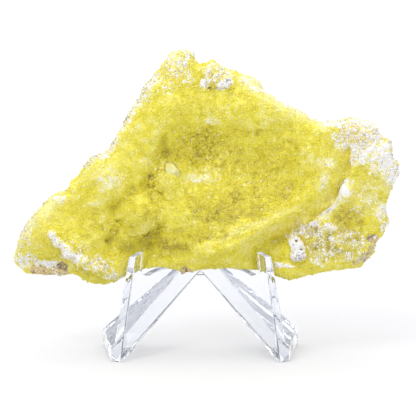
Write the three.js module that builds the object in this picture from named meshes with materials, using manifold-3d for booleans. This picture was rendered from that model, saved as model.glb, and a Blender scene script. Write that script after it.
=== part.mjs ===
// A hand specimen of yellow brucite resting on a clear acrylic display stand.
// Millimetres, +Z up. The display side faces -Y, and the stand's feet are on Z = 0.

import * as THREE from "three";
import { ConvexGeometry } from "three/addons/geometries/ConvexGeometry.js";
import { mergeVertices } from "three/addons/utils/BufferGeometryUtils.js";
import Module from "manifold-3d";

const wasm = await Module();
wasm.setup();

// ---------------------------------------------------------------- driving dimensions

const FOOT_X = 21.8; // front feet, from the stand's middle plane
const APEX_Y = 21.2; // how far behind the feet the two webs meet
const PRONG_TOP = 27; // height of the prongs above the table
const PRONG_SET_BACK = 4.1; // the prongs lean back by this much at their top
const WEB_THICKNESS = 2.7; // at the foot
const WEB_TAPER = 0.28; // share of the thickness lost at the prong's top
const FACING_TURN = THREE.MathUtils.degToRad(30); // a prong's front face looks outwards by this much
const REAR_FOOT = new THREE.Vector2(25.8, 21.5); // rear outer corner of a wing on the table
const WING_HEIGHT = 3.7; // upright height of a wing's outer end face
const SPINE_WIDTH = 3.2;
const SPINE_TOP = 46;
const STAND_X = -1.66; // the stand's middle plane, from the specimen's middle

const LEAN = THREE.MathUtils.degToRad(6); // the specimen leans back on the stand
const SPECIMEN_BASE = new THREE.Vector3(0, 10.6, 18.6); // lowest edge, at the middle of its thickness
const CORE = new THREE.Vector2(-1, 26); // a point well inside the specimen's outline
const SPHERE_DETAIL = 19; // the specimen has 20 * (detail + 1)^2 triangles
const RIM_SHARE = 0.12; // share of the radius taken by the rounding of the rim
const RIM_BAND = 0.35; // share of the start sphere that becomes the rim

// ---------------------------------------------------------------- booleans

function toManifold(geometry) {
  const bare = geometry.clone();
  bare.deleteAttribute("normal");
  bare.deleteAttribute("uv");
  const merged = mergeVertices(bare, 1e-4);
  const mesh = new wasm.Mesh({
    numProp: 3,
    vertProperties: new Float32Array(merged.attributes.position.array),
    triVerts: new Uint32Array(merged.index.array),
  });
  return new wasm.Manifold(mesh);
}

function toGeometry(manifold) {
  const mesh = manifold.getMesh();
  const geometry = new THREE.BufferGeometry();
  geometry.setAttribute("position", new THREE.BufferAttribute(mesh.vertProperties, 3));
  geometry.setIndex(new THREE.BufferAttribute(mesh.triVerts, 1));
  geometry.computeVertexNormals();
  return geometry;
}

// ---------------------------------------------------------------- stand

const WEB_RUN = Math.hypot(FOOT_X, APEX_Y); // length of a web in plan

// A web's side view: x runs from the front foot to the middle plane, y is up.
function webProfile() {
  const lean = PRONG_SET_BACK * (WEB_RUN / APEX_Y);
  const shape = new THREE.Shape();
  shape.moveTo(-3, -1);
  shape.lineTo(0, -1);
  shape.lineTo(29.3, 19.9);
  shape.lineTo(WEB_RUN, 18.9);
  shape.lineTo(WEB_RUN, 36);
  shape.quadraticCurveTo(29.2, 30, 28.2, 26.4);
  shape.quadraticCurveTo(27.2, 22.6, 23.6, 22.5);
  shape.lineTo(15.6, 22.5);
  shape.quadraticCurveTo(13.2, 22.3, 11.5, 21.7);
  shape.quadraticCurveTo(8.9, 20.8, 8.7, 23.2);
  shape.lineTo(9.4, PRONG_TOP + 0.8);
  shape.lineTo(lean - 3, PRONG_TOP - 0.9);
  shape.closePath();
  return shape;
}

// side is -1 for the left web and 1 for the right one.
function web(side) {
  const geometry = new THREE.ExtrudeGeometry(webProfile(), {
    depth: WEB_THICKNESS,
    bevelEnabled: false,
    curveSegments: 6,
  });
  geometry.translate(0, 0, -WEB_THICKNESS / 2);
  const position = geometry.attributes.position;
  for (let i = 0; i < position.count; i += 1) {
    const rise = Math.min(position.getY(i) / PRONG_TOP, 1);
    position.setZ(i, position.getZ(i) * (1 - WEB_TAPER * rise));
  }
  const along = new THREE.Vector3(-side * FOOT_X, APEX_Y, 0).normalize();
  const up = new THREE.Vector3(0, 0, 1);
  const across = new THREE.Vector3().crossVectors(along, up);
  geometry.applyMatrix4(new THREE.Matrix4().makeBasis(along, up, across));
  geometry.translate(side * FOOT_X, 0, 0);
  return toManifold(geometry);
}

// The slanting plate behind a web, from the table up to the middle plane.
function wing(side) {
  const sole = 1.6; // width of the strip that stands on the table
  const frontX = FOOT_X + 1.2;
  const apexRearY = APEX_Y + 1.2;
  const corners = [
    [frontX, 0.4, 0],
    [frontX, 0.4, WING_HEIGHT],
    [frontX - sole, 0.4, 0],
    [REAR_FOOT.x, REAR_FOOT.y, 0],
    [REAR_FOOT.x, REAR_FOOT.y, WING_HEIGHT + 0.4],
    [REAR_FOOT.x - sole, REAR_FOOT.y, 0],
    [0.5, 20.5, 19.6],
    [0.5, 20.5, 19.6 + WING_HEIGHT],
    [0.5, apexRearY, 20.4],
    [0.5, apexRearY, 26.4],
  ];
  const points = corners.map(([x, y, z]) => new THREE.Vector3(side * x, y, z));
  return toManifold(new ConvexGeometry(points));
}

// The upright that the specimen's back leans on, drawn from the side: x is depth, y is up.
function spine() {
  const shape = new THREE.Shape();
  shape.moveTo(20.2, 18.8);
  shape.lineTo(22.3, 18.8);
  shape.lineTo(22.4, 26);
  shape.lineTo(23.9, SPINE_TOP - 1.2);
  shape.quadraticCurveTo(24, SPINE_TOP, 22.7, SPINE_TOP);
  shape.quadraticCurveTo(21.5, SPINE_TOP, 21.4, SPINE_TOP - 1.2);
  shape.lineTo(19.8, 26);
  shape.closePath();
  const geometry = new THREE.ExtrudeGeometry(shape, {
    depth: SPINE_WIDTH,
    bevelEnabled: false,
    curveSegments: 4,
  });
  const depthAxis = new THREE.Vector3(0, 1, 0);
  const up = new THREE.Vector3(0, 0, 1);
  geometry.applyMatrix4(new THREE.Matrix4().makeBasis(depthAxis, up, new THREE.Vector3(1, 0, 0)));
  geometry.translate(-SPINE_WIDTH / 2, 0, 0);
  return toManifold(geometry);
}

// The block of space in front of a leg: it faces the leg and its prong off in one leaning plane.
function facing(side) {
  const webTurn = Math.atan2(FOOT_X, APEX_Y);
  const setBack = PRONG_SET_BACK * (WEB_RUN / APEX_Y) * Math.cos(webTurn - FACING_TURN);
  const block = new THREE.BoxGeometry(60, 20, 160);
  block.translate(0, -10, 0);
  block.rotateX(-Math.atan2(setBack, PRONG_TOP));
  block.rotateZ(side * FACING_TURN);
  block.translate(side * FOOT_X, 0, 0);
  return toManifold(block);
}

function standSolid() {
  let solid = spine();
  for (const side of [-1, 1]) {
    solid = solid.add(web(side).add(wing(side)).subtract(facing(side)));
  }
  const below = new THREE.BoxGeometry(120, 120, 20);
  below.translate(0, 0, -10);
  return solid.subtract(toManifold(below));
}

// ---------------------------------------------------------------- specimen

// Outline seen square to the display side: distance from the middle, height above the lowest point.
const OUTLINE = [
  [-50, 5.7], [-49.3, 11.2], [-45.9, 17.5], [-39.7, 23.7], [-33.5, 28.4], [-29.9, 33.2],
  [-26, 34.9], [-23.9, 38.8], [-21.1, 43], [-16.9, 51], [-13.1, 55.5], [-9.4, 60.1],
  [-5.6, 61.9], [-2.7, 58.9], [-1, 58.2], [1.4, 59], [5.6, 55.9], [12.4, 54], [15.2, 51.8],
  [18.8, 47.8], [24.2, 45.6], [28.7, 42.3], [32, 42.6], [37.2, 43.4], [42.6, 42.1],
  [46.3, 39.4], [48.3, 36], [49.9, 30.5], [48.3, 25.8], [46.4, 20.9], [47.4, 15.9],
  [44.4, 11.2], [43, 7.6], [39.3, 4.3], [31.8, 3.7], [27.4, 2.9], [21.6, 1.1], [17.2, 2.6],
  [12.6, 3.7], [5.6, 4.1], [-1.1, 4], [-6.4, 3.5], [-12.3, 4.4], [-16.4, 4.1], [-21.1, 2.6],
  [-24.2, 0.9], [-28.1, 0], [-32.2, 1.5], [-35, 3], [-42.4, 2.3], [-47.8, 3.1],
];

// Rounded lumps and hollows on the display side: place, radii along x and height, rise.
const FRONT_LUMPS = [
  { at: [-1.7, 33.9], radii: [9, 7.5], rise: -5.2 }, // upper basin
  { at: [15.2, 28.7], radii: [11, 8.5], rise: -5.6 }, // main basin
  { at: [-17.2, 18.4], radii: [5.4, 5], rise: 3.4 }, // cluster by the left prong
  { at: [-30.1, 12.5], radii: [5, 4.2], rise: 2.4 },
  { at: [-9.4, 28.5], radii: [4.2, 3.6], rise: 2.2 },
  { at: [-4.3, 18], radii: [5.5, 4.5], rise: 2 },
  { at: [-25, 26], radii: [6, 5], rise: 2 },
  { at: [-41, 13.5], radii: [7, 5.5], rise: 1.8 },
  { at: [-8, 46], radii: [7, 8], rise: 2.2 },
  { at: [12, 46], radii: [9, 5], rise: 2 },
  { at: [27, 34], radii: [5, 5], rise: 1.6 },
  { at: [-14.1, 12.8], radii: [2.8, 2.6], rise: -2.6 }, // dark corner between the lumps
  { at: [-10.7, 34.7], radii: [2.6, 2.6], rise: -2 },
  { at: [23.3, 9.8], radii: [2.6, 3.6], rise: 1.8 }, // white lump
  { at: [36.4, 25.3], radii: [2, 2.2], rise: 1.4 },
  { at: [-28, 4], radii: [6, 3], rise: 2.4 }, // low bulge outside the left prong
  { at: [21.5, 3.5], radii: [6, 3], rise: 2 }, // low bulge outside the right prong
  { at: [-44, 4.5], radii: [8, 3.2], rise: -4 }, // bare matrix under the left end
  { at: [-18, 6.5], radii: [3.8, 4.4], rise: -3 }, // behind the left prong
  { at: [15, 6.8], radii: [4, 5], rise: -3.8 }, // behind the right prong
];

// Long folds: the line that each follows, its half width and its rise.
const FRONT_FOLDS = [
  { // rolled ridge round the basin
    line: [[-0.4, 8.6], [8.7, 11.7], [14.4, 15.4], [20.4, 18.8], [25.8, 22.2], [29.9, 25.8],
      [32.5, 30.5], [33.6, 35.2], [32, 39.9]],
    width: 2.8,
    rise: 3.4,
  },
  { // groove outside that ridge
    line: [[36.8, 36], [36.4, 28.7], [34.2, 24.4], [31.6, 20.8], [28, 17.8], [23.8, 15], [18.5, 11.5]],
    width: 2.3,
    rise: -3.2,
  },
  { // white ridge along the lower left
    line: [[-38.7, 13], [-34.8, 9.4], [-31.4, 6.2], [-28.9, 3.8]],
    width: 1.9,
    rise: 2.4,
  },
  { // furrow round the cluster
    line: [[-14.6, 25.9], [-12.4, 20.8], [-12, 15.6], [-14.6, 11.7], [-19.8, 9.1]],
    width: 2,
    rise: -2.2,
  },
  { // furrow on the cluster's left
    line: [[-19.8, 22.1], [-23.7, 20], [-22.4, 16.4], [-25, 11.7], [-24.4, 8.5]],
    width: 2,
    rise: -2.2,
  },
  { // valley from the upper basin down to the left
    line: [[-2, 33], [-8, 33.4], [-13, 30.5], [-15.5, 25.5]],
    width: 2,
    rise: -1.8,
  },
];

const BACK_LUMPS = [
  { at: [-30, 14], radii: [9, 7], rise: 2.2 },
  { at: [-14, 45], radii: [7, 7], rise: 2 },
  { at: [31, 27], radii: [9, 8], rise: 2.6 },
  { at: [17, 43], radii: [6, 5], rise: 1.6 },
  { at: [-24, 29], radii: [4, 8], rise: -1.6 },
  { at: [12, 17], radii: [5, 6], rise: -1.4 },
];

// The back broke off its host rock along these faces: depth at the middle of the specimen and slopes.
const BROKEN_FACES = [
  { depth: 7.4, alongX: 0.03, up: -0.05 },
  { depth: 10.5, alongX: -0.2, up: 0.06 },
  { depth: 11, alongX: 0.22, up: 0.02 },
  { depth: 8.6, alongX: 0.04, up: -0.24 },
  { depth: 9.4, alongX: 0.1, up: 0.3 },
];

function lumpsAt(x, h, lumps) {
  let sum = 0;
  for (const { at, radii, rise } of lumps) {
    const square = ((x - at[0]) / radii[0]) ** 2 + ((h - at[1]) / radii[1]) ** 2;
    sum += rise * Math.exp(-square);
  }
  return sum;
}

function foldsAt(x, h, folds) {
  let sum = 0;
  for (const { points, width, rise } of folds) {
    let nearest = Infinity;
    for (const point of points) {
      nearest = Math.min(nearest, Math.hypot(x - point.x, h - point.y));
    }
    sum += rise * Math.exp(-((nearest / width) ** 2));
  }
  return sum;
}

// Overlapping low swells of several sizes, which keep every face from lying flat.
function swells(x, h, seed) {
  let sum = 0;
  for (let k = 0; k < 5; k += 1) {
    const turn = seed + 2.4 * k;
    const wave = 9.5 / (1 + 0.42 * k);
    const along = x * Math.cos(turn) + h * Math.sin(turn);
    const aside = h * Math.cos(turn) - x * Math.sin(turn);
    sum += (0.5 / (1 + 0.6 * k)) * Math.sin(along / (wave / 2) + turn) * Math.cos(aside / wave);
  }
  return sum;
}

function specimenGeometry() {
  const outline = new THREE.SplineCurve(
    [...OUTLINE, OUTLINE[0]].map(([x, h]) => new THREE.Vector2(x, h)),
  );
  outline.arcLengthDivisions = 1200;
  const folds = FRONT_FOLDS.map((fold) => {
    const curve = new THREE.SplineCurve(fold.line.map(([x, h]) => new THREE.Vector2(x, h)));
    return { points: curve.getSpacedPoints(40), width: fold.width, rise: fold.rise };
  });

  // Depth of the display side in front of the middle sheet, and of the back behind it.
  const frontDepth = (x, h) => {
    const middle = Math.exp(-((x / 40) ** 2) - ((h - 22) / 26) ** 2);
    const relief = lumpsAt(x, h, FRONT_LUMPS) + foldsAt(x, h, folds);
    return 3.3 + 3.3 * middle + relief + 0.6 * swells(x, h, 1.1);
  };
  const backDepth = (x, h) => {
    let depth = 7.6 + lumpsAt(x, h, BACK_LUMPS) + swells(x, h, 4.3);
    for (const face of BROKEN_FACES) {
      depth = Math.min(depth, face.depth + face.alongX * x + face.up * (h - CORE.y));
    }
    return Math.max(depth, 2.4);
  };

  const sphere = new THREE.IcosahedronGeometry(1, SPHERE_DETAIL);
  sphere.deleteAttribute("normal");
  sphere.deleteAttribute("uv");
  const geometry = mergeVertices(sphere, 1e-5);
  const position = geometry.attributes.position;
  const inner = 1 - RIM_SHARE;
  const rim = new THREE.Vector2();
  for (let i = 0; i < position.count; i += 1) {
    const facing = -position.getY(i);
    // Arc length round the outline, starting at the left end and going up over the top.
    const turn = Math.atan2(position.getZ(i), -position.getX(i)) / (2 * Math.PI);
    outline.getPointAt((turn + 1) % 1, rim);
    let share = 1;
    let bulge = Math.sign(facing);
    if (Math.abs(facing) > RIM_BAND) {
      share = inner * Math.sqrt((1 - Math.abs(facing)) / (1 - RIM_BAND));
    } else {
      const around = (facing / RIM_BAND) * (Math.PI / 2);
      share = inner + RIM_SHARE * Math.cos(around);
      bulge = Math.sin(around);
    }
    const x = CORE.x + share * (rim.x - CORE.x);
    const h = CORE.y + share * (rim.y - CORE.y);
    // The lower rim lies nearer the display side, so that the underside is a shelf.
    const low = 1 - THREE.MathUtils.smoothstep(h, 3, 20);
    const near = 1 - THREE.MathUtils.smoothstep(Math.abs(x), 26, 44);
    const sheet = (1.4 * swells(x, h, 2.7) - 3.4 * low * near) * (1 - Math.abs(bulge));
    const depth = bulge > 0 ? -bulge * frontDepth(x, h) : -bulge * backDepth(x, h);
    position.setXYZ(i, x, sheet + depth, h);
  }
  geometry.rotateX(-LEAN);
  geometry.translate(SPECIMEN_BASE.x, SPECIMEN_BASE.y, SPECIMEN_BASE.z);
  geometry.computeVertexNormals();
  return geometry;
}

// ---------------------------------------------------------------- assembly

const acrylic = new THREE.MeshStandardMaterial({
  color: new THREE.Color(0.93, 0.95, 0.98),
  roughness: 0.05,
  metalness: 0,
  transparent: true,
  opacity: 0.35,
});
const brucite = new THREE.MeshStandardMaterial({
  color: new THREE.Color(0.84, 0.79, 0.22),
  roughness: 0.55,
  metalness: 0,
});

const stand = new THREE.Mesh(toGeometry(standSolid()), acrylic);
stand.name = "display_stand";
stand.position.x = STAND_X;

const specimen = new THREE.Mesh(specimenGeometry(), brucite);
specimen.name = "brucite_specimen";

const group = new THREE.Group();
group.add(stand, specimen);

// The origin is under the middle of the whole object.
const box = new THREE.Box3().setFromObject(group, true);
const middle = box.getCenter(new THREE.Vector3());
group.position.set(-middle.x, -middle.y, -box.min.z);

export default group;
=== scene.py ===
"""A hand specimen of yellow brucite on a clear acrylic easel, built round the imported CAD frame.

The stand is a copy of its CAD mesh with rounded edges and a clear acrylic material. The specimen's
CAD solid gives the large relief; a finer mesh is grown from it here, with its druse of crystals.
"""

import math

import bmesh
import bpy
import numpy as np
from mathutils import Matrix, Vector, noise


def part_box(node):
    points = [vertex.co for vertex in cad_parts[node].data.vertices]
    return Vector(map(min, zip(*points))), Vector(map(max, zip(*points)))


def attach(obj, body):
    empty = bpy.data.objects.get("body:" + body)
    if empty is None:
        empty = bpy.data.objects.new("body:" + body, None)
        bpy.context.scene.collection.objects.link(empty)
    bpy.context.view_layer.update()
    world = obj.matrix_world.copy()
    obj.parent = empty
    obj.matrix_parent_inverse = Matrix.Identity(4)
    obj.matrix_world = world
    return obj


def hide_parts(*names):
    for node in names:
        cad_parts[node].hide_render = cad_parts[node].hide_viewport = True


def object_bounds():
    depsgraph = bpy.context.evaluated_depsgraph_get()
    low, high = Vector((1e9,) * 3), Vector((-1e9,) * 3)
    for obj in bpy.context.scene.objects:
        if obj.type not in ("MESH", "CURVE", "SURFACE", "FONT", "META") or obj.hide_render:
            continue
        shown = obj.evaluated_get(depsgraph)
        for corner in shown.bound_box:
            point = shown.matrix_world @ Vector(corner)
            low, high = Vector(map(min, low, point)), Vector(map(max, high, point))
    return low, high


MM = 0.001
OPAQUE = 1.0

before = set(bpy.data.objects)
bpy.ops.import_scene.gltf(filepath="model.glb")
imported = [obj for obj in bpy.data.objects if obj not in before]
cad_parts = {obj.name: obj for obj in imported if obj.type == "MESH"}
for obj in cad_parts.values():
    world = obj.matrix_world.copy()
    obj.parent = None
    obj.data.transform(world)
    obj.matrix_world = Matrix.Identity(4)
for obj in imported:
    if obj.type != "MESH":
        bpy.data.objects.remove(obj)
cad_low, cad_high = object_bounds()
scene = bpy.context.scene


# ------------------------------------------------------------------ node helpers


class Nodes:
    """A small wrapper that makes and links the nodes of one material or world."""

    def __init__(self, tree):
        self.tree = tree
        tree.nodes.clear()

    def add(self, kind, inputs=None, **settings):
        node = self.tree.nodes.new(kind)
        for name, value in settings.items():
            setattr(node, name, value)
        for name, value in (inputs or {}).items():
            if isinstance(value, bpy.types.NodeSocket):
                self.tree.links.new(value, node.inputs[name])
            else:
                node.inputs[name].default_value = value
        return node

    def maths(self, operation, a, b=0.0):
        return self.add("ShaderNodeMath", {0: a, 1: b}, operation=operation).outputs[0]

    def swing(self, value, size):
        """Turns a value from 0 to 1 into one that swings round 0."""
        return self.maths("MULTIPLY", self.maths("SUBTRACT", value, 0.5), size)

    def mix(self, factor, a, b):
        """Goes from colour a to colour b as the factor goes from 0 to 1."""
        node = self.add("ShaderNodeMix", data_type="RGBA", clamp_factor=True)
        factor_index, a_index, b_index, result_index = 0, 6, 7, 2
        for index, value in ((factor_index, factor), (a_index, a), (b_index, b)):
            if isinstance(value, bpy.types.NodeSocket):
                self.tree.links.new(value, node.inputs[index])
            elif index == factor_index:
                node.inputs[index].default_value = value
            else:
                node.inputs[index].default_value = (*value, OPAQUE)
        return node.outputs[result_index]

    def step(self, value, low, high, out_low=0.0, out_high=1.0):
        """Goes softly from out_low to out_high while the value goes from low to high."""
        inputs = {
            "Value": value,
            "From Min": low,
            "From Max": high,
            "To Min": out_low,
            "To Max": out_high,
        }
        node = self.add("ShaderNodeMapRange", inputs, interpolation_type="SMOOTHSTEP")
        return node.outputs[0]

    def noise(self, where, size_mm, detail=2.0, rough=0.5, warp=0.0):
        inputs = {
            "Vector": where,
            "Scale": 1 / (size_mm * MM),
            "Detail": detail,
            "Roughness": rough,
            "Distortion": warp,
        }
        return self.add("ShaderNodeTexNoise", inputs).outputs[0]

    def mask(self, name):
        """A value that the mesh keeps at each of its vertices."""
        return self.add("ShaderNodeAttribute", attribute_name=name).outputs["Fac"]

    def place(self):
        """Where a point lies on its own object, in metres."""
        return self.add("ShaderNodeTexCoord").outputs["Object"]

    def output(self, inputs, volume=None):
        """Ends a material in a principled shader that has these inputs."""
        shader = self.add("ShaderNodeBsdfPrincipled", inputs)
        sockets = {"Surface": shader.outputs[0]}
        if volume:
            sockets["Volume"] = volume
        self.add("ShaderNodeOutputMaterial", sockets)


def new_material(name):
    material = bpy.data.materials.new(name)
    material.use_nodes = True
    return material, Nodes(material.node_tree)


def add_object(name, data):
    """A new object that is in the scene."""
    thing = bpy.data.objects.new(name, data)
    scene.collection.objects.link(thing)
    return thing


# ------------------------------------------------------------------ camera, light and floor

CAMERA_ELEVATION = math.radians(10.5)
CAMERA_DISTANCE = 1.0  # m
CLIP_START = 0.01  # m
VIEW_WIDTH = 107.8 * MM  # width of the view at the object
VIEW_RIGHT = 0.4 * MM  # the view's middle, right of the object's
VIEW_HEIGHT = 38.3 * MM  # the view's middle, above the floor
SENSOR = 36.0  # mm
LIGHT_BOUNCES = 32  # enough for light to cross the acrylic's many faces

# A white ceiling over a room that is dark blue-grey near the horizon, which draws the edges of
# the acrylic.
HORIZON = (0.13, 0.15, 0.205)
CEILING = (1.0, 1.0, 1.0)
HORIZON_END, CEILING_START = 0.18, 0.62  # sines of the height above the horizon
ROOM_STRENGTH = 1.11

SOFTBOXES = (  # name, place seen from the target in metres, width, height, watts
    ("top_softbox", (-0.1, 0.1, 0.9), 1.0, 1.0, 4.2),
    ("key_softbox", (-0.4, -0.5, 0.7), 0.3, 0.3, 2.2),
    ("front_softbox", (0.3, -0.9, 0.3), 0.5, 0.5, 2.2),
)

FLOOR_REACH = 4.0  # m
FLOOR_GAP = 0.02 * MM  # below the stand's soles

target = (cad_low + cad_high) / 2
target.x += VIEW_RIGHT
target.z = cad_low.z + VIEW_HEIGHT


def make_camera():
    data = bpy.data.cameras.new("camera")
    data.sensor_width = SENSOR
    data.lens = SENSOR * CAMERA_DISTANCE / VIEW_WIDTH
    data.clip_start = CLIP_START
    camera = add_object("camera", data)
    back = Vector((0, -math.cos(CAMERA_ELEVATION), math.sin(CAMERA_ELEVATION)))
    camera.location = target + CAMERA_DISTANCE * back
    camera.rotation_euler = (math.pi / 2 - CAMERA_ELEVATION, 0, 0)
    scene.camera = camera


def make_room():
    world = bpy.data.worlds.new("studio")
    scene.world = world
    world.use_nodes = True
    n = Nodes(world.node_tree)
    direction = n.add("ShaderNodeTexCoord").outputs["Generated"]
    parts = n.add("ShaderNodeSeparateXYZ", {0: direction})
    overhead = n.step(parts.outputs["Z"], HORIZON_END, CEILING_START)
    colour = n.mix(overhead, HORIZON, CEILING)
    background = n.add("ShaderNodeBackground", {"Color": colour, "Strength": ROOM_STRENGTH})
    n.add("ShaderNodeOutputWorld", {"Surface": background.outputs[0]})


def make_softbox(name, place, width, height, watts):
    data = bpy.data.lights.new(name, "AREA")
    data.shape = "RECTANGLE"
    data.size = width
    data.size_y = height
    data.energy = watts
    light = add_object(name, data)
    light.location = target + Vector(place)
    light.rotation_euler = (-Vector(place)).to_track_quat("-Z", "Y").to_euler()


def make_floor():
    """A pale floor that glows faintly, with painted shade: its colour is greyer near the object."""
    mesh = bpy.data.meshes.new("floor")
    far = FLOOR_REACH
    corners = [(-far, -far, 0), (far, -far, 0), (far, far, 0), (-far, far, 0)]
    mesh.from_pydata(corners, [], [(0, 1, 2, 3)])
    floor = add_object("floor", mesh)
    floor.location.z = cad_low.z - FLOOR_GAP
    material, n = new_material("floor_white")
    away = n.add("ShaderNodeVectorMath", {0: n.place()}, operation="LENGTH").outputs["Value"]
    inputs = {
        # Painted shade: the floor's colour is darker near the object and paler far off.
        "Base Color": n.step(away, 0.1, 0.7, 0.46, 0.75),  # grey near the object, paler far off
        "Roughness": 0.7,
        "Specular IOR Level": 0.2,
        "Emission Color": (0.95, 0.955, 1.0, OPAQUE),
        "Emission Strength": 0.375,
    }
    n.output(inputs)
    mesh.materials.append(material)


make_camera()
make_room()
for softbox in SOFTBOXES:
    make_softbox(*softbox)
make_floor()
scene.view_settings.view_transform = "Standard"
scene.cycles.max_bounces = LIGHT_BOUNCES
scene.cycles.transmission_bounces = LIGHT_BOUNCES
scene.cycles.glossy_bounces = LIGHT_BOUNCES


# ------------------------------------------------------------------ acrylic stand

CAD_JOIN = 0.01 * MM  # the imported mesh's corners that lie nearer than this are one
ROUNDED_JOIN = 0.005 * MM
FLAT = math.radians(1)
EDGE_RADIUS = 0.3 * MM
EDGE_STEPS = 3
SHARP_EDGE = math.radians(28)
SHORTEST_EDGE = 0.6 * MM
SPINE_X = -1.6 * MM  # the middle of the spine behind the stone
SPINE_REACH = 2.0 * MM  # edges this near the spine's middle stay sharp, or they would cross


def acrylic_material():
    material, n = new_material("clear_acrylic")
    where = n.place()
    waves = {"Height": n.noise(where, 2.5, 2.0), "Strength": 1.0, "Distance": 0.04 * MM}
    tint = {"Color": (0.49, 0.56, 0.73, OPAQUE), "Density": 7.5}
    inputs = {
        "Base Color": (0.965, 0.975, 1.0, OPAQUE),
        "Roughness": n.step(n.noise(where, 3.0, 3.0), 0.45, 0.75, 0.0, 0.05),
        "IOR": 1.49,
        "Transmission Weight": 1.0,
        "Normal": n.add("ShaderNodeBump", waves).outputs[0],
    }
    n.output(inputs, volume=n.add("ShaderNodeVolumeAbsorption", tint).outputs[0])
    return material


def is_rounded(edge):
    """Whether an edge of the stand is an outer one, long enough to round, and not on the spine."""
    middle_x = (edge.verts[0].co.x + edge.verts[1].co.x) / 2
    return (
        edge.is_convex
        and edge.calc_face_angle(0) > SHARP_EDGE
        and edge.calc_length() > SHORTEST_EDGE
        and abs(middle_x - SPINE_X) > SPINE_REACH
    )


def build_stand():
    """A copy of the CAD stand that has its outer edges rounded, except on the spine."""
    shape = bmesh.new()
    shape.from_mesh(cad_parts["display_stand"].data)
    bmesh.ops.remove_doubles(shape, verts=shape.verts, dist=CAD_JOIN)
    bmesh.ops.dissolve_limit(shape, verts=shape.verts, edges=shape.edges, angle_limit=FLAT)
    rounded = bmesh.ops.bevel(
        shape,
        geom=[edge for edge in shape.edges if is_rounded(edge)],
        affect="EDGES",
        offset_type="OFFSET",
        offset=EDGE_RADIUS,
        segments=EDGE_STEPS,
        profile=0.5,
    )
    for face in shape.faces:
        face.smooth = False
    for face in rounded["faces"]:
        face.smooth = True
    bmesh.ops.remove_doubles(shape, verts=shape.verts, dist=ROUNDED_JOIN)
    mesh = bpy.data.meshes.new("display_stand_rounded")
    shape.to_mesh(mesh)
    shape.free()
    mesh.materials.append(acrylic_material())
    return add_object(mesh.name, mesh)


# ------------------------------------------------------------------ specimen: mesh tools

low, high = (np.array(corner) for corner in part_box("brucite_specimen"))
span = high - low


def points_of(mesh):
    flat = np.empty(len(mesh.vertices) * 3, np.float32)
    mesh.vertices.foreach_get("co", flat)
    return flat.reshape(-1, 3).astype(float)


def normals_of(mesh):
    flat = np.empty(len(mesh.vertices) * 3, np.float32)
    mesh.vertex_normals.foreach_get("vector", flat)
    return flat.reshape(-1, 3).astype(float)


def set_points(mesh, points):
    mesh.vertices.foreach_set("co", points.astype(np.float32).ravel())
    mesh.update()


def store(mesh, name, values):
    layer = mesh.attributes.new(name, "FLOAT", "POINT")
    layer.data.foreach_set("value", np.asarray(values, np.float32))


class Smoother:
    """Draws each vertex of a mesh towards the middle of its neighbours."""

    SHARE = 0.6  # how much of the way it goes in each round

    def __init__(self, mesh):
        pairs = np.empty(len(mesh.edges) * 2, np.int32)
        mesh.edges.foreach_get("vertices", pairs)
        pairs = pairs.reshape(-1, 2)
        self.start = np.concatenate([pairs[:, 0], pairs[:, 1]])
        self.end = np.concatenate([pairs[:, 1], pairs[:, 0]])
        self.count = len(mesh.vertices)
        self.degree = np.maximum(np.bincount(self.start, minlength=self.count), 1)

    def once(self, values):
        return np.bincount(self.start, values[self.end], self.count) / self.degree

    def run(self, points, rounds):
        result = points.copy()
        for _ in range(rounds):
            for axis in range(3):
                column = result[:, axis]
                result[:, axis] = column + self.SHARE * (self.once(column) - column)
        return result


def remeshed(source, voxel, name):
    """A copy of a mesh, smoothed and covered in even quads of the voxel's size, in millimetres."""
    shape = add_object(name + "_raw", source.copy())
    shape.data.transform(Matrix.Scale(1 / MM, 4))
    shape.modifiers.new("weld", "WELD").merge_threshold = 0.01
    smooth = shape.modifiers.new("smooth", "SUBSURF")
    smooth.levels = smooth.render_levels = 2
    cover = shape.modifiers.new("cover", "REMESH")
    cover.mode = "VOXEL"
    cover.voxel_size = voxel
    graph = bpy.context.evaluated_depsgraph_get()
    mesh = bpy.data.meshes.new_from_object(shape.evaluated_get(graph))
    raw = shape.data
    bpy.data.objects.remove(shape)
    bpy.data.meshes.remove(raw)
    mesh.name = name
    mesh.materials.clear()
    mesh.transform(Matrix.Scale(MM, 4))
    extra = [a.name for a in mesh.attributes if not a.is_internal and not a.is_required]
    for attribute in extra:
        mesh.attributes.remove(mesh.attributes[attribute])
    return mesh


# ------------------------------------------------------------------ specimen: its features
#
# Places are shares of the specimen's box: across from its left end, and up from its lowest point.
# A patch is (across, up, half width mm, half height mm, strength).
# A streak is (strength, half width mm, the places that it runs through).
#
# Colour: crust is white, pale and olive lighten and deepen the yellow, milky places turn it to
# cream, matrix is bare rock, smooth has few crystals, and grey, dark and orange grains are the odd
# ones.
# Some colour is painted light and shade: a highlight along the ridge's crest, shade below the
# ridge, on the rim, under the white lump and in pits and creases, and cream grains as glints.
# Shape: lump and bump are domes, raised lifts the CAD solid's relief, ridge lowers it and makes
# its grain finer, pit and notch are dents, and knobbly is botryoidal ground.

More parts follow.
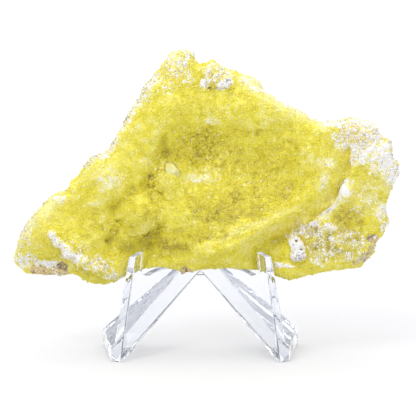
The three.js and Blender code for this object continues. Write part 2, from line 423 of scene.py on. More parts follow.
PATCHES = {
    "crust": (
        (0.905, 0.635, 7.0, 5.2, 0.87),  # top of the right lobe
        (0.955, 0.54, 4.6, 5.5, 0.84),
        (0.985, 0.455, 2.0, 4.5, 0.85),
        (0.835, 0.685, 3.2, 2.0, 0.75),
        (0.865, 0.60, 3.0, 3.0, 0.75),
        (0.426, 0.93, 5.0, 4.4, 0.47),  # first peak
        (0.40, 0.85, 3.0, 2.6, 0.25),
        (0.53, 0.885, 4.0, 3.6, 0.52),  # second peak
        (0.545, 0.85, 2.2, 1.6, 1.0),
        (0.495, 0.85, 1.2, 1.6, 0.9),
        (0.03, 0.09, 3.2, 2.6, 0.6),  # lip under the left end
        (0.075, 0.078, 5.0, 1.1, 0.85),
        (0.02, 0.20, 2.2, 4.5, 0.45),
        (0.22, 0.08, 4.2, 2.6, 0.42),
        (0.25, 0.055, 2.5, 2.0, 0.34),
        (0.765, 0.235, 4.5, 2.2, 0.42),  # granular patch right of the lower ridge
        (0.80, 0.225, 4.5, 2.4, 0.36),
        (0.733, 0.166, 1.8, 1.9, 1.4),  # white lump
        (0.736, 0.124, 1.7, 1.6, 1.4),
        (0.84, 0.16, 8.5, 4.5, 0.36),
        (0.80, 0.12, 4.0, 3.0, 0.42),
        (0.885, 0.13, 4.0, 3.0, 0.34),
        (0.91, 0.36, 6.0, 5.0, 0.2),
        (0.952, 0.30, 1.6, 2.6, 0.75),
        (0.965, 0.23, 1.3, 2.4, 0.6),
        (0.118, 0.358, 2.4, 1.4, 0.45),
        (0.16, 0.14, 4.0, 3.0, 0.32),
        (0.25, 0.44, 4.0, 2.6, 0.21),
        (0.80, 0.438, 2.2, 2.4, 0.36),
        (0.807, 0.517, 2.6, 1.6, 0.3),
        (0.90, 0.55, 4.2, 2.4, 0.8),
        (0.25, 0.62, 3.0, 4.0, 0.3),
        (0.03, 0.22, 2.5, 5.0, 0.3),
        (0.859, 0.402, 1.5, 1.8, 1.0),
        (0.50, 0.45, 4.2, 2.2, 0.24),  # sparkle beside the large crystal
        (0.515, 0.69, 2.2, 1.2, 0.4),
        (0.21, 0.335, 1.8, 1.4, 0.3),
        (0.34, 0.525, 1.5, 1.2, 0.25),
    ),
    "pale": (
        (0.475, 0.45, 3.6, 1.8, 0.8),
        (0.50, 0.68, 2.2, 0.9, 0.8),
        (0.34, 0.606, 1.2, 1.0, 0.7),
        (0.81, 0.518, 2.2, 1.3, 0.8),
        (0.80, 0.438, 2.2, 2.6, 0.6),
        (0.859, 0.40, 1.8, 2.2, 1.0),  # smooth white drop
        (0.93, 0.39, 5.5, 5.5, 0.5),  # milky flank of the right lobe
        (0.25, 0.43, 4.0, 2.5, 0.35),
        (0.62, 0.62, 6.0, 4.0, 0.25),
        (0.09, 0.28, 5.0, 4.0, 0.35),
        (0.36, 0.24, 4.0, 2.0, 0.35),
        (0.07, 0.18, 3.2, 4.0, 0.2),
        (0.57, 0.12, 5.0, 3.0, 0.3),
    ),
    "olive": (
        (0.387, 0.577, 2.4, 3.4, 0.45),
        (0.491, 0.564, 5.8, 6.0, 0.38),
        (0.634, 0.64, 1.4, 1.0, 0.6),
        (0.697, 0.408, 3.0, 3.4, 0.5),
        (0.685, 0.333, 6.0, 2.8, 0.4),
        (0.62, 0.47, 12.0, 9.0, 0.22),
        (0.302, 0.404, 2.4, 1.8, 0.3),
        (0.362, 0.364, 1.4, 2.4, 0.3),
        (0.262, 0.312, 1.6, 2.2, 0.3),
        (0.271, 0.261, 1.2, 1.2, 0.45),
        (0.245, 0.185, 1.8, 1.6, 0.5),
        (0.354, 0.198, 1.8, 1.8, 0.5),
        (0.39, 0.15, 6.5, 3.2, 0.8),
        (0.57, 0.315, 11.0, 4.4, 0.75),
        (0.77, 0.225, 4.5, 3.0, 1.1),
        (0.92, 0.41, 5.0, 5.0, 0.85),
        (0.198, 0.248, 4.0, 3.2, 0.4),
        (0.794, 0.297, 3.0, 2.5, 0.85),
        (0.856, 0.297, 2.0, 2.8, 0.5),
        (0.33, 0.28, 4.0, 4.0, 0.2),
        (0.83, 0.17, 9.5, 5.0, 1.0),  # ground of the speckled patch
        (0.875, 0.275, 5.0, 3.2, 0.72),
        (0.93, 0.36, 4.0, 5.0, 0.3),
        (0.64, 0.32, 9.0, 2.4, 0.35),
        (0.45, 0.21, 7.0, 2.6, 0.35),
        (0.335, 0.30, 3.4, 3.2, 0.5),
        (0.42, 0.545, 5.0, 3.4, 0.25),
        (0.21, 0.06, 4.5, 2.4, 0.8),
    ),
    "lump": (
        (0.322, 0.288, 4.9, 4.9, 1.0),  # round cluster by the left prong
        (0.405, 0.422, 4.1, 3.7, 0.9),
        (0.412, 0.275, 3.6, 3.4, 0.7),
        (0.47, 0.235, 4.2, 2.8, 0.6),
        (0.49, 0.31, 3.6, 3.0, 0.5),
        (0.545, 0.26, 4.6, 3.2, 0.4),
        (0.146, 0.38, 5.5, 4.4, 0.5),
        (0.224, 0.36, 3.6, 3.4, 0.6),
        (0.205, 0.50, 4.6, 3.6, 0.5),
        (0.268, 0.49, 3.4, 3.4, 0.6),
        (0.418, 0.733, 6.0, 4.6, 0.6),
        (0.35, 0.66, 3.4, 3.8, 0.6),
        (0.30, 0.60, 3.0, 3.2, 0.4),
        (0.561, 0.775, 5.4, 3.8, 0.5),
        (0.664, 0.72, 5.4, 3.6, 0.4),
        (0.75, 0.62, 4.6, 4.2, 0.4),
        (0.587, 0.53, 4.2, 2.6, 0.3),
        (0.924, 0.60, 6.4, 5.0, 0.7),
        (0.911, 0.396, 5.4, 3.8, 0.5),
        (0.846, 0.165, 7.0, 4.4, 0.4),
        (0.41, 0.93, 3.4, 3.4, 0.5),
        (0.53, 0.90, 3.6, 3.0, 0.6),
        (0.07, 0.22, 4.0, 4.0, 0.3),
    ),
    "pit": (
        (0.322, 0.415, 2.4, 1.2, 0.4),
        (0.263, 0.305, 1.1, 1.7, 0.3),
        (0.271, 0.262, 0.9, 1.3, 0.4),
        (0.262, 0.215, 1.2, 1.2, 0.4),
        (0.368, 0.395, 1.6, 1.6, 0.4),
        (0.379, 0.34, 1.2, 2.0, 0.4),
        (0.364, 0.215, 1.9, 1.3, 0.35),
        (0.395, 0.16, 2.6, 1.4, 0.4),
        (0.44, 0.165, 2.4, 1.2, 0.4),
        (0.294, 0.143, 2.0, 1.3, 0.5),
        (0.247, 0.177, 1.6, 1.3, 0.5),
        (0.216, 0.232, 2.0, 1.6, 0.3),
        (0.247, 0.105, 2.0, 1.6, 0.4),
        (0.491, 0.71, 1.2, 1.0, 0.5),
        (0.633, 0.644, 1.6, 1.1, 0.6),
        (0.605, 0.627, 1.2, 1.0, 0.4),
        (0.393, 0.556, 1.2, 1.9, 0.3),
        (0.45, 0.545, 4.0, 3.2, 0.3),
        (0.50, 0.59, 5.0, 4.0, 0.4),
        (0.56, 0.50, 6.0, 4.0, 0.2),
    ),
    "bump": (
        (0.733, 0.166, 1.8, 2.0, 0.7),  # white lump
        (0.737, 0.121, 1.7, 1.6, 0.9),
        (0.859, 0.40, 1.6, 1.8, 0.45),
        (0.102, 0.215, 1.1, 1.1, 0.4),
        (0.118, 0.185, 1.3, 1.1, 0.5),
        (0.144, 0.145, 1.6, 1.3, 0.5),
        (0.545, 0.86, 2.6, 1.8, 0.4),
    ),
    "knobbly": (  # botryoidal ground
        (0.33, 0.25, 7.0, 6.0, 0.7),
        (0.38, 0.45, 5.0, 7.0, 0.8),
        (0.50, 0.56, 8.0, 7.0, 0.8),
        (0.64, 0.45, 11.0, 8.0, 0.5),
        (0.22, 0.25, 5.0, 5.0, 0.5),
        (0.50, 0.25, 8.0, 5.0, 0.5),
    ),
    "matrix": (
        (0.09, 0.035, 5.4, 1.9, 1.0),  # bare rock under the left end
        (0.125, 0.055, 2.4, 2.0, 1.0),
        (0.985, 0.407, 0.8, 2.4, 0.8),
        (0.93, 0.185, 1.8, 1.5, 0.8),
        (0.91, 0.11, 2.0, 1.8, 0.6),
        (0.446, 0.058, 2.0, 1.0, 0.9),
    ),
    "notch": (  # dents in the outline, the deepest between the two peaks
        (0.486, 0.955, 2.4, 2.6, 1.15),
        (0.123, 0.40, 2.6, 2.0, 1.3),
        (0.317, 0.79, 1.8, 2.0, 0.5),
        (0.385, 0.955, 1.6, 1.8, 0.4),
        (0.660, 0.83, 1.6, 2.0, 1.0),
        (0.955, 0.63, 2.0, 2.0, 1.0),
        (0.985, 0.54, 1.6, 2.0, 0.8),
    ),
    "milky": (
        (0.94, 0.43, 5.0, 5.0, 0.2),
        (0.91, 0.36, 5.0, 4.0, 0.2),
        (0.03, 0.24, 2.5, 4.5, 0.55),
        (0.09, 0.34, 3.5, 3.0, 0.4),
        (0.42, 0.92, 4.5, 4.0, 0.1),
        (0.475, 0.45, 4.0, 2.0, 0.2),
        (0.25, 0.45, 5.0, 3.5, 0.22),
        (0.859, 0.40, 2.2, 2.6, 0.8),
        (0.81, 0.50, 3.0, 3.5, 0.2),
    ),
    "smooth": (
        (0.859, 0.40, 2.0, 2.4, 1.0),
    ),
    "sooty": (
        (0.77, 0.225, 4.5, 2.5, 1.0),
        # Painted shade under the white lump's lower nodule.
        (0.740, 0.118, 1.6, 1.4, 1.8),
        (0.22, 0.07, 4.5, 3.0, 0.7),
        (0.42, 0.93, 4.5, 3.5, 0.25),
        (0.53, 0.88, 4.5, 3.5, 0.4),
    ),
    "dark": (
        (0.128, 0.066, 2.4, 1.3, 0.5),
        (0.09, 0.035, 4.6, 1.2, 0.36),
        (0.509, 0.83, 0.6, 0.5, 0.6),
        (0.556, 0.859, 0.8, 0.6, 0.45),
        (0.735, 0.175, 0.5, 0.4, 0.7),
        (0.728, 0.162, 0.4, 0.4, 0.6),
        (0.742, 0.150, 0.5, 0.4, 0.6),
        # Painted shade on the white lump's lower nodule, as dark specks.
        (0.740, 0.115, 1.2, 0.9, 0.34),
        (0.925, 0.19, 1.0, 0.5, 0.5),
        (0.447, 0.055, 0.5, 0.4, 0.6),
        (0.985, 0.41, 0.6, 2.0, 0.5),
        (0.262, 0.31, 0.6, 1.0, 0.38),
        (0.354, 0.2, 0.7, 0.7, 0.4),
    ),
    "orange": (
        (0.885, 0.63, 4.6, 3.2, 0.7),
        (0.075, 0.185, 3.0, 2.6, 0.5),
        (0.41, 0.88, 3.5, 3.0, 0.4),
        (0.53, 0.89, 2.5, 2.5, 0.3),
        (0.15, 0.07, 4.0, 2.0, 0.4),
    ),
}

STREAKS = {
    "milky": (
        (0.9, 1.2, (0.857, 0.385), (0.842, 0.345), (0.82, 0.30), (0.80, 0.28)),
        (0.25, 2.4, (0.60, 0.86), (0.67, 0.80), (0.74, 0.73), (0.80, 0.69)),
        # Painted highlight along the upper side of the ridge's crest.
        (0.3, 0.8, (0.53, 0.185), (0.62, 0.25), (0.68, 0.292), (0.74, 0.325)),
    ),
    "crust": (
        (0.4, 1.6, (0.60, 0.87), (0.67, 0.81), (0.74, 0.74), (0.80, 0.70)),
        (0.62, 1.8, (0.237, 0.56), (0.281, 0.685), (0.315, 0.77), (0.36, 0.87)),
        (0.58, 1.6, (0.02, 0.25), (0.06, 0.36), (0.13, 0.46), (0.20, 0.53), (0.24, 0.56)),
        (0.84, 1.1, (0.102, 0.215), (0.118, 0.18), (0.144, 0.143), (0.17, 0.11)),
        (0.5, 1.2, (0.17, 0.11), (0.20, 0.07), (0.267, 0.031)),
        (0.6, 0.9, (0.715, 0.20), (0.745, 0.235), (0.79, 0.25), (0.83, 0.235)),
        (0.9, 0.6, (0.683, 0.078), (0.72, 0.072)),
        (0.42, 0.9, (0.857, 0.385), (0.842, 0.345), (0.82, 0.30), (0.80, 0.285)),
    ),
    "pale": (
        # Painted highlight along the upper side of the ridge's crest.
        (0.3, 0.7, (0.50, 0.175), (0.55, 0.20), (0.62, 0.25), (0.68, 0.292), (0.74, 0.318)),
        (0.45, 1.6, (0.60, 0.17), (0.66, 0.21), (0.72, 0.255), (0.78, 0.315), (0.82, 0.39)),
        (0.9, 1.0, (0.853, 0.37), (0.845, 0.33), (0.825, 0.29), (0.80, 0.275)),
        (0.25, 3.0, (0.36, 0.78), (0.30, 0.62), (0.20, 0.47), (0.10, 0.33)),
        (0.6, 2.6, (0.60, 0.86), (0.67, 0.80), (0.74, 0.73), (0.80, 0.69)),
        (0.5, 1.6, (0.75, 0.55), (0.79, 0.50), (0.80, 0.43)),
    ),
    "pit": (
        (0.25, 0.5, (0.322, 0.41), (0.29, 0.37), (0.263, 0.31), (0.27, 0.25), (0.25, 0.18)),
        (0.4, 0.5, (0.375, 0.40), (0.382, 0.33), (0.37, 0.22), (0.31, 0.16)),
        (0.3, 0.5, (0.859, 0.568), (0.862, 0.477), (0.845, 0.42)),
        (0.4, 0.7, (0.605, 0.63), (0.66, 0.645), (0.72, 0.60), (0.75, 0.54)),
        (0.35, 0.6, (0.53, 0.60), (0.58, 0.645), (0.64, 0.63)),
        (0.5, 0.5, (0.44, 0.20), (0.49, 0.185), (0.55, 0.205)),
        (0.4, 0.5, (0.45, 0.33), (0.50, 0.27), (0.55, 0.215)),
    ),
    "ridge": (
        (1.0, 2.5, (0.50, 0.12), (0.583, 0.178), (0.652, 0.236), (0.721, 0.292), (0.776, 0.35),
         (0.815, 0.42), (0.835, 0.50), (0.838, 0.567)),
    ),
    "raised": (
        (0.7, 1.1, (0.102, 0.215), (0.118, 0.18), (0.144, 0.143), (0.17, 0.11), (0.20, 0.07),
         (0.24, 0.045)),
        (0.8, 1.0, (0.857, 0.385), (0.842, 0.345), (0.82, 0.30)),
        # The floor of the groove outside the ridge.
        (1.1, 2.8, (0.861, 0.556), (0.859, 0.459), (0.838, 0.38), (0.81, 0.315), (0.77, 0.265)),
        (1.5, 1.9, (0.875, 0.50), (0.867, 0.455), (0.849, 0.405), (0.82, 0.335), (0.785, 0.285)),
    ),
    "matrix": (
        (0.55, 1.1, (0.96, 0.20), (0.90, 0.10), (0.885, 0.08)),
    ),
    "dark": (
        (0.5, 0.25, (0.507, 0.822), (0.53, 0.833), (0.566, 0.822)),
    ),
    "sooty": (  # grey grains, mostly along the outline
        # Grey grains along the outline, which also paint shade on the rim.
        (1.8, 1.8, (0.02, 0.17), (0.03, 0.25), (0.10, 0.41), (0.20, 0.53), (0.24, 0.60),
         (0.315, 0.80), (0.36, 0.90)),
        (0.5, 1.4, (0.81, 0.70), (0.90, 0.745), (0.96, 0.66), (1.0, 0.50)),
        (0.5, 1.2, (0.50, 0.95), (0.55, 0.93), (0.58, 0.88)),
    ),
    "orange": (
        (0.6, 1.8, (0.861, 0.556), (0.859, 0.459), (0.835, 0.396), (0.81, 0.341), (0.773, 0.295),
         (0.732, 0.253), (0.69, 0.206)),
    ),
    "olive": (
        # Painted shadow below the ridge.
        (0.45, 1.2, (0.79, 0.285), (0.75, 0.245), (0.70, 0.195), (0.66, 0.165)),
        (0.5, 1.2, (0.27, 0.26), (0.25, 0.19), (0.29, 0.16), (0.35, 0.19), (0.40, 0.15)),
    ),
}

LEAN = math.radians(6)  # the display side leans back by this much
READ_APART = {"lump", "bump", "notch"}  # domes, and dents that reach round the outline
SCATTER = 43758.5  # large enough to leave no pattern in the values of of_cell


def smoothstep(low_edge, high_edge, value):
    """Goes softly from 0 to 1 while the value goes from the low edge to the high one."""
    t = np.clip((value - low_edge) / (high_edge - low_edge), 0, 1)
    return t * t * (3 - 2 * t)


def fractal(points, size_mm, octaves, seed):
    """Cloudy noise round 0; its largest clouds have this size."""
    scale = 1 / (size_mm * MM)
    shift = np.array([17.3, 5.1, 9.7]) * seed
    falloff, finer = 0.9, 2.1
    places = points * scale + shift
    return np.array([noise.fractal(Vector(p), falloff, finer, octaves) for p in places])


def cells(points, size_mm, seed):
    """Cellular noise, in cells of this size.

    Returns the gap between the two nearest seeds, the offset from the nearest, and its place.
    """
    scale = 1 / (size_mm * MM)
    shift = np.array([3.7, 11.9, 6.3]) * seed
    gap = np.empty(len(points))
    seeds = np.empty((len(points), 3))
    places = points * scale + shift
    for index, place in enumerate(places):
        distances, found = noise.voronoi(place)
        gap[index] = distances[1] - distances[0]
        seeds[index] = found[0]
    return gap, places - seeds, seeds


def of_cell(seeds, step):
    """A value from 0 to 1 that is the same all over one cell."""
    turn = seeds @ np.array([12.99, 78.23, 37.72]) + step
    return np.modf(np.abs(np.sin(turn) * SCATTER))[0]


def tilted(offset, seeds):
    """Height on a flat facet that fills each cell and leans its own way."""
    lean = np.stack([of_cell(seeds, k) - 0.5 for k in range(3)], 1)
    return (offset * lean).sum(1)


class Face:
    """Where each vertex lies on the display side, in mm; what is drawn there wanders slightly."""

    def __init__(self, points):
        depth = (low[1] + high[1]) / 2 - points[:, 1]
        self.size = span[[0, 2]] / MM
        across = (points[:, 0] - low[0]) / MM
        up = (points[:, 2] - low[2] - depth * math.tan(LEAN)) / MM
        wander_across = 1.7 * fractal(points, 5.0, 4, 3.0) + 0.7 * fractal(points, 1.4, 2, 13.0)
        wander_up = 1.7 * fractal(points, 5.0, 4, 4.0) + 0.7 * fractal(points, 1.4, 2, 14.0)
        self.across = across
        self.up = up
        self.wander_across = wander_across
        self.wander_up = wander_up
        streak_wander = 0.45
        self.line_across = across + streak_wander * wander_across
        self.line_up = up + streak_wander * wander_up

    def away(self, across, up, wide, tall):
        """How far off a patch's middle lies, in its half sizes; small patches wander less."""
        full_wander_from = 8  # mm, the patch's half width and half height together
        share = min(1.0, (wide + tall) / full_wander_from)
        offset_across = (self.across + share * self.wander_across - across * self.size[0]) / wide
        offset_up = (self.up + share * self.wander_up - up * self.size[1]) / tall
        return np.hypot(offset_across, offset_up)

    def patch(self, patch):
        """A soft round patch."""
        *place, strength = patch
        return strength * (1 - smoothstep(0.45, 1.35, self.away(*place)))

    def streak(self, strength, half_width, *places):
        """A soft line through several places."""
        nearest = np.full(len(self.line_across), np.inf)
        ends = [np.array(place) * self.size for place in places]
        for start, end in zip(ends, ends[1:]):
            run = end - start
            offset_across = self.line_across - start[0]
            offset_up = self.line_up - start[1]
            share = np.clip((offset_across * run[0] + offset_up * run[1]) / (run @ run), 0, 1)
            gap = np.hypot(offset_across - share * run[0], offset_up - share * run[1])
            nearest = np.minimum(nearest, gap)
        return strength * (1 - smoothstep(0.5, 1.4, nearest / half_width))

    def domes(self, name):
        """The height of round lumps, from 0 to 1, and the creases round them."""
        height = np.zeros(len(self.across))
        crease = np.zeros(len(self.across))
        foot = 1.12  # where a dome meets the ground, in its half sizes
        for *place, strength in PATCHES[name]:
            away = self.away(*place)
            on_foot = 1 - smoothstep(0.0, 0.12, np.abs(away - foot))
            crease = np.maximum(crease, strength * on_foot)
            height = np.maximum(height, strength * np.sqrt(np.clip(1 - away**2 / 1.3, 0, 1)))
        return height, crease * (1 - smoothstep(0.15, 0.5, height))

    def mark(self, name):
        """The strength of a feature at each vertex."""
        marks = [self.patch(patch) for patch in PATCHES.get(name, ())]
        marks += [self.streak(*streak) for streak in STREAKS.get(name, ())]
        return np.max(marks, axis=0)


# ------------------------------------------------------------------ specimen: skin

SKIN_VOXEL, QUICK_VOXEL = 0.37, 0.8  # mm
MASKS = (  # what the materials read at each vertex
    "crust", "dark", "matrix", "milky", "orange", "smooth", "sooty",
    "front", "tone", "grainy", "pick",
)


def skin_marks(points, normals):
    """How strongly each of the stone's features shows at each vertex, by the feature's name."""
    face = Face(points)
    front = smoothstep(-0.75, -0.35, -normals[:, 1] + 0.25 * fractal(points, 5.0, 3, 8.0))
    names = sorted({*PATCHES, *STREAKS} - READ_APART)
    marks = {name: front * face.mark(name) for name in names}
    marks["front"] = front
    marks["notch"] = face.mark("notch")
    # Away from the display side the stone broke off its host rock, with some yellow left on it.
    left = fractal(points, 11.0, 3, 5.0) + 0.1 - marks["notch"]
    bare = (1 - front) * smoothstep(-0.25, 0.1, left)
    marks["matrix"] = np.maximum(marks["matrix"], bare)
    crust = np.maximum(marks["crust"], (1 - front) * 0.45)
    patchy = np.clip(1 - crust, 0, 1) * fractal(points, 1.3, 3, 18.0)
    marks["crust"] = crust + 2.0 * crust * patchy
    marks["grainy"] = (0.08 + 0.8 * marks["knobbly"]) * (1 - 0.7 * marks["ridge"])
    lump, crease = face.domes("lump")
    marks["lump"] = front * lump
    marks["crease"] = front * crease * marks["grainy"]
    marks["bump"] = front * face.domes("bump")[0]
    return marks


def skin_relief(points, normals, marks):
    """How far each vertex moves outwards, in millimetres.

    Adds three marks that the colours need too: crevices, the broad swell and each grain's pick.
    """
    rock, crust, grainy = marks["matrix"], marks["crust"], marks["grainy"]
    gap, _, _ = cells(points, 3.4, 1.0)
    buds = smoothstep(-0.1, 0.5, gap) * (1 - rock)
    gap, offset, seeds = cells(points, 1.6, 2.0)
    knobs = smoothstep(-0.1, 0.4, gap) + 0.6 * tilted(offset, seeds)
    marks["crevice"] = marks["pit"] * (1 - smoothstep(0.05, 0.3, gap))
    _, offset, seeds = cells(points, 0.75, 3.0)
    grain = of_cell(seeds, 9.0) + tilted(offset, seeds)
    marks["pick"] = of_cell(seeds, 20.0)
    _, offset, seeds = cells(points, 6.5, 6.0)
    chips = 3.4 * tilted(offset, seeds)
    _, offset, seeds = cells(points, 2.4, 7.0)
    chips += 0.7 * tilted(offset, seeds) + 0.15 * fractal(points, 1.0, 2, 16.0)
    marks["broad"] = fractal(points, 8.0, 3, 1.0)

    relief = 0.4 * marks["broad"] + 0.22 * fractal(points, 3.5, 4, 11.0)
    # Botryoidal ground: buds with knobs on them.
    budding = 0.6 * (buds - 0.7) + 0.32 * (knobs - 0.7)
    relief += grainy * (1 - 0.8 * marks["lump"]) * budding * (1 - 0.6 * rock)
    # Grains, the coarsest of them in the crust.
    coarse = 0.03 + 0.10 * grainy + 0.26 * crust * (1 - marks["smooth"])
    relief += coarse * (grain - 0.5) + 0.25 * crust + marks["raised"] - 0.45 * marks["ridge"]
    # Lumps, bumps and the chips of the broken rock.
    relief += (
        0.5 * marks["lump"] + 1.6 * marks["bump"] + rock * chips
        - 0.3 * marks["olive"] - 0.4 * marks["dark"]
    )
    # A ragged rim, and the deep places.
    steep = 1 - np.abs(normals[:, 1])
    rim = marks["front"] * smoothstep(0.75, 0.95, steep + 0.1)
    ragged = 0.4 * fractal(points, 1.0, 3, 17.0) + 0.3 * (knobs - 0.7)
    relief += rim * ragged - 0.2 * marks["pit"] - 0.35 * marks["crevice"] - 0.2 * marks["crease"]
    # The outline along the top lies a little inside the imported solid's.
    edge = smoothstep(0.3, 0.8, steep) * smoothstep(-0.2, 0.4, normals[:, 2])
    return relief - (0.7 * edge + marks["notch"])


def skin_tone(points, hollow, marks):
    """How light the yellow is, from deep below 0 to pale above 1.

    Painted light and shade: it is paler where the stone stands proud, and deeper in hollows,
    where light would run further into it.
    """
    patchy = np.clip(0.8 + 0.6 * fractal(points, 1.8, 3, 12.0), 0, 1)
    tone = 0.5 + 0.45 * marks["pale"] - 0.75 * marks["olive"] * patchy
    # Painted shade in pits, crevices and the creases round the lumps, and painted light on the
    # broad swells.
    tone += (
        0.12 * marks["broad"] + 0.32 * fractal(points, 2.6, 4, 15.0)
        - 0.15 * marks["pit"] - 0.45 * marks["crevice"] - 0.85 * marks["crease"]
    )
    # Painted shade in hollows, and painted light where the stone stands proud.
    return tone - 0.3 * np.clip(hollow, -0.4, 0.6)


def build_skin():
    """The specimen's whole surface; returns the piece and its masks by name."""
    voxel = SKIN_VOXEL
    mesh = remeshed(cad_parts["brucite_specimen"].data, voxel, "brucite_specimen_skin")
    smoother = Smoother(mesh)
    points = smoother.run(points_of(mesh), rounds=6)
    set_points(mesh, points)
    normals = normals_of(mesh)
    marks = skin_marks(points, normals)
    relief = skin_relief(points, normals, marks)
    points = points + normals * (relief * MM)[:, None]
    set_points(mesh, points)

    hollow = ((smoother.run(points, rounds=50) - points) * normals).sum(1) / MM
    marks["tone"] = skin_tone(points, hollow, marks)
    masks = {name: marks[name] for name in MASKS}
    for name, values in masks.items():
        store(mesh, name, values)
    mesh.polygons.foreach_set("use_smooth", [True] * len(mesh.polygons))
    return add_object("brucite_specimen_skin", mesh), masks


# ------------------------------------------------------------------ specimen: its small crystals

SIDES = 6
DRUSE_COUNT, BACK_COUNT = 16500, 9000
GRAIN_RADIUS = 0.175 * MM
GRAIN_SPREAD = 0.34  # of the logarithm of the radius
GRAIN_LIFT = 0.04  # of the radius
GRAIN_LEAN = 0.42


def grain_shape():
    """The corners and triangles of one crystal: a six-sided ring and two tips."""
    turns = np.arange(SIDES) * math.pi / 3
    ring = np.column_stack([np.cos(turns), np.sin(turns), np.zeros(SIDES)])
    around = [(k, (k + 1) % SIDES) for k in range(SIDES)]
    top, bottom = SIDES, SIDES + 1
    faces = [(a, b, top) for a, b in around] + [(b, a, bottom) for a, b in around]
    return np.vstack([ring, [(0, 0, 1), (0, 0, -1)]]), np.array(faces)


def unit(vectors):
    return vectors / np.linalg.norm(vectors, axis=1, keepdims=True)


def triangle_mesh(name, points, faces):
    mesh = bpy.data.meshes.new(name)
    mesh.vertices.add(len(points))
    mesh.vertices.foreach_set("co", points.astype(np.float32).ravel())
    mesh.loops.add(faces.size)
    mesh.loops.foreach_set("vertex_index", faces.astype(np.int32).ravel())
    mesh.polygons.add(len(faces))
    mesh.polygons.foreach_set("loop_start", np.arange(0, faces.size, 3, dtype=np.int32))
    mesh.update(calc_edges=True)
    mesh.validate()
    return mesh


def build_druse(name, skin, masks, wanted, count, seed):
    """Small crystals crowded over the skin, more of them where wanted is high."""
    shape_points, shape_faces = grain_shape()
    rng = np.random.default_rng(seed)
    count = count
    mesh = skin.data
    mesh.calc_loop_triangles()
    corners = np.empty(len(mesh.loop_triangles) * 3, np.int32)
    mesh.loop_triangles.foreach_get("vertices", corners)
    corners = corners.reshape(-1, 3)
    places = points_of(mesh)[corners]
    cross = np.cross(places[:, 1] - places[:, 0], places[:, 2] - places[:, 0])
    weight = np.linalg.norm(cross, axis=1) * wanted[corners].mean(1)
    chosen = rng.choice(len(corners), count, p=weight / weight.sum())
    share = rng.random((count, 2))
    beyond = share.sum(1) > 1
    share[beyond] = 1 - share[beyond]
    share = np.column_stack([1 - share.sum(1), share])
    centre = (places[chosen] * share[:, :, None]).sum(1)
    normal = unit(cross[chosen])

    axis = unit(normal + GRAIN_LEAN * rng.normal(size=(count, 3)))
    aside = unit(np.cross(rng.normal(size=(count, 3)), axis))
    third = np.cross(axis, aside)
    radius = GRAIN_RADIUS * np.exp(GRAIN_SPREAD * rng.normal(size=count)).clip(0.5, 2.2)
    wide = radius * rng.uniform(0.65, 1.0, count)
    tall = radius * rng.uniform(0.7, 1.5, count)
    centre += normal * (GRAIN_LIFT * radius)[:, None]
    points = centre[:, None, :] + (
        aside[:, None, :] * (shape_points[None, :, 0] * radius[:, None])[:, :, None]
        + third[:, None, :] * (shape_points[None, :, 1] * wide[:, None])[:, :, None]
        + axis[:, None, :] * (shape_points[None, :, 2] * tall[:, None])[:, :, None]
    )
    faces = shape_faces[None] + (np.arange(count) * len(shape_points))[:, None, None]
    druse = triangle_mesh(name, points.reshape(-1, 3), faces.reshape(-1, 3))
    for mask, values in masks.items():
        if mask == "pick":
            own = rng.random(count)
        else:
            own = (values[corners[chosen]] * share).sum(1)
        store(druse, mask, np.repeat(own, len(shape_points)))
    return add_object(name, druse)


# ------------------------------------------------------------------ specimen: material

OLIVE = (0.38, 0.28, 0.014)
DEEP = (0.69, 0.585, 0.025)
LEMON = (0.83, 0.735, 0.04)
PALE = (0.91, 0.85, 0.33)
CREAM = (0.95, 0.92, 0.60)
WHITE = (0.95, 0.94, 0.91)
GREY = (0.49, 0.46, 0.42)
ORANGE = (0.82, 0.66, 0.12)
TAN = (0.62, 0.49, 0.22)
STONE = (0.61, 0.54, 0.37)
SLATE = (0.33, 0.33, 0.25)
BROWN = (0.16, 0.11, 0.055)
BRUCITE = {  # what all of the stone's materials share
    "IOR": 1.57,
    "Subsurface Radius": (1.0, 0.85, 0.15),
    "Subsurface Scale": 1.6 * MM,
}


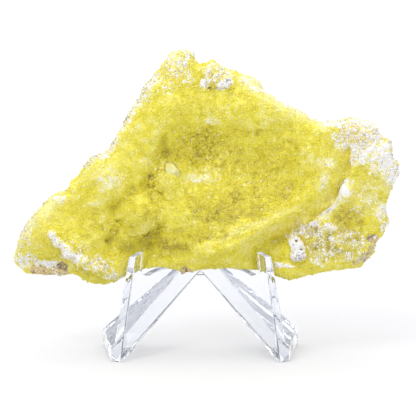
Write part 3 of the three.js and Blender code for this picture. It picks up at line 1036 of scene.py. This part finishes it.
def brucite_material(name, roughness, subsurface):
    material, n = new_material(name)
    where = n.place()
    # Two values from 0 to 1 that differ from grain to grain.
    pick = n.mask("pick")
    other = n.maths("FRACT", n.maths("MULTIPLY", pick, 7.31))
    third = n.maths("FRACT", n.maths("MULTIPLY", pick, 17.9))
    fine = n.noise(where, 0.5, 3.0)

    # The yellow itself: olive to deep yellow, lemon and pale, and a little different in each grain.
    spread = n.step(n.mask("grainy"), 0.0, 1.0, 0.36, 1.15)
    tone = n.maths("ADD", n.mask("tone"), n.swing(other, spread))
    tone = n.maths("ADD", tone, n.swing(fine, 0.4))
    colour = n.mix(n.step(tone, -0.5, 0.1), OLIVE, DEEP)
    colour = n.mix(n.step(tone, 0.05, 0.55), colour, LEMON)
    colour = n.mix(n.step(tone, 0.5, 1.1), colour, PALE)
    colour = n.mix(n.maths("MULTIPLY", n.mask("orange"), 0.4), colour, ORANGE)
    patchy = n.step(n.maths("ADD", fine, other), 0.6, 1.2, 0.3, 0.8)
    milky = n.maths("MULTIPLY", n.mask("milky"), patchy)
    # Painted glints: a few random grains turn cream.
    milky = n.maths("ADD", milky, n.step(third, 0.9, 0.97, 0.0, 0.6))
    colour = n.mix(milky, colour, CREAM)

    # White crust grain by grain, with some orange and grey grains among it.
    # Grey grains, partly real specks, partly painted shade on the rim and under the white lump.
    grey = n.maths("ADD", third, n.maths("MULTIPLY", n.mask("sooty"), 0.25))
    grey = n.maths("SUBTRACT", grey, n.mask("smooth"))
    grains = n.mix(n.step(grey, 0.95, 0.97), WHITE, GREY)
    orange = n.maths("ADD", n.maths("MULTIPLY", n.mask("orange"), 0.45), 0.1)
    grains = n.mix(n.step(n.maths("SUBTRACT", orange, third), -0.03, 0.03), grains, ORANGE)
    chance = n.maths("ADD", n.maths("MULTIPLY", other, 0.85), n.maths("MULTIPLY", fine, 0.15))
    cover = n.step(n.maths("SUBTRACT", n.mask("crust"), chance), -0.06, 0.06)
    colour = n.mix(cover, colour, grains)

    # Bare host rock: tan and stone, slate-coloured mineral behind, white veins, brown and white
    # specks. Dark spots lie over everything.
    warmer = n.maths("MULTIPLY", n.mask("front"), 0.15)
    pale_rock = n.maths("SUBTRACT", n.noise(where, 7.0, 4.0), warmer)
    rock = n.mix(n.step(pale_rock, 0.4, 0.6), TAN, STONE)
    behind = n.step(n.mask("front"), 0.0, 0.6, 1.0, 0.0)
    slate = n.step(n.noise(where, 3.0, 5.0, 0.6, 0.6), 0.5, 0.62, 0.0, 0.75)
    rock = n.mix(n.maths("MULTIPLY", slate, behind), rock, SLATE)
    vein = n.maths("ABSOLUTE", n.maths("SUBTRACT", n.noise(where, 9.0, 3.0, 0.5, 1.2), 0.5))
    vein = n.maths("MULTIPLY", n.step(vein, 0.004, 0.02, 1.0, 0.0), n.step(fine, 0.35, 0.5))
    rock = n.mix(vein, rock, WHITE)
    rock = n.mix(n.step(n.noise(where, 0.7, 3.0), 0.56, 0.66, 0.0, 0.8), rock, BROWN)
    rock = n.mix(n.step(n.noise(where, 0.45, 2.0), 0.6, 0.68, 0.0, 0.7), rock, WHITE)
    cover = n.maths("ADD", n.mask("matrix"), n.swing(fine, 0.8))
    colour = n.mix(n.step(cover, 0.4, 0.6), colour, rock)
    spot = n.maths("ADD", n.mask("dark"), n.swing(fine, 0.9))
    colour = n.mix(n.step(spot, 0.35, 0.6), colour, BROWN)

    inputs = {
        **BRUCITE,
        "Base Color": colour,
        "Roughness": n.step(fine, 0.3, 0.7, roughness - 0.12, roughness + 0.15),
        "Subsurface Weight": subsurface,
    }
    n.output(inputs)
    return material


# ------------------------------------------------------------------ specimen: its one large crystal

FACET_PLACE = (0.412, 0.484)  # shares of the specimen's box
FACET_END = ((-0.9, -0.8), (0.8, -0.85), (1.0, -0.3), (0.1, 0.85), (-0.75, 0.95))  # its corners
FAR = 1.0  # m, farther than any vertex


def build_facet(skin, masks):
    """One larger pale crystal that shows its flat end beside the hollow."""
    points = points_of(skin.data)
    across = low[0] + FACET_PLACE[0] * span[0]
    up = low[2] + FACET_PLACE[1] * span[2]
    away = np.hypot(points[:, 0] - across, points[:, 2] - up) + FAR * (masks["front"] < 0.5)
    centre = points[np.argmin(away)]
    end = np.array(FACET_END)
    count = len(end)
    # In millimetres across, backwards and up: a flat end that leans back, and a wider hidden one.
    front_ring = np.column_stack([2.0 * end[:, 0], -1.6 + 0.25 * end[:, 1], 1.75 * end[:, 1]])
    rear_ring = np.column_stack([2.4 * end[:, 0], np.full(count, 1.2), 2.2 * end[:, 1]])
    around = [(k, (k + 1) % count) for k in range(count)]
    faces = [(a, b, b + count) for a, b in around]
    faces += [(a, b + count, a + count) for a, b in around]
    fan = range(1, count - 1)
    faces += [(0, k + 1, k) for k in fan]
    faces += [(count, count + k, count + k + 1) for k in fan]
    corners = centre + MM * np.vstack([front_ring, rear_ring])
    mesh = triangle_mesh("brucite_facet", corners, np.array(faces))
    material, n = new_material("brucite_facet")
    cloud = n.step(n.noise(n.place(), 1.2, 3.0), 0.35, 0.65)
    colour = n.mix(cloud, (0.60, 0.55, 0.15), (0.72, 0.70, 0.36))
    n.output({**BRUCITE, "Base Color": colour, "Roughness": 0.3, "Subsurface Weight": 0.5})
    mesh.materials.append(material)
    return add_object("brucite_facet", mesh)


# ------------------------------------------------------------------ assembly

stand = build_stand()
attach(stand, "root")
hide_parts("display_stand")
skin, masks = build_skin()
skin.data.materials.append(brucite_material("brucite_skin", roughness=0.5, subsurface=0.7))
sugar = brucite_material("brucite_druse", roughness=0.35, subsurface=0.1)
# Fewer crystals grow on bare rock and where the stone is smooth.
display_side = masks["front"] * (1 - 0.85 * masks["matrix"]) * (1 - 0.8 * masks["smooth"])
other_side = (1 - masks["front"]) * (1 - 0.9 * masks["matrix"]) + 0.02
pieces = [
    skin,
    build_druse("brucite_druse_a", skin, masks, display_side, DRUSE_COUNT, 1),
    build_druse("brucite_druse_b", skin, masks, display_side, DRUSE_COUNT, 2),
    build_druse("brucite_druse_c", skin, masks, display_side, DRUSE_COUNT, 3),
    build_druse("brucite_druse_back", skin, masks, other_side, BACK_COUNT, 4),
    build_facet(skin, masks),
]
for piece in pieces:
    if "druse" in piece.name:
        piece.data.materials.append(sugar)
    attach(piece, "root")
    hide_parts("brucite_specimen")
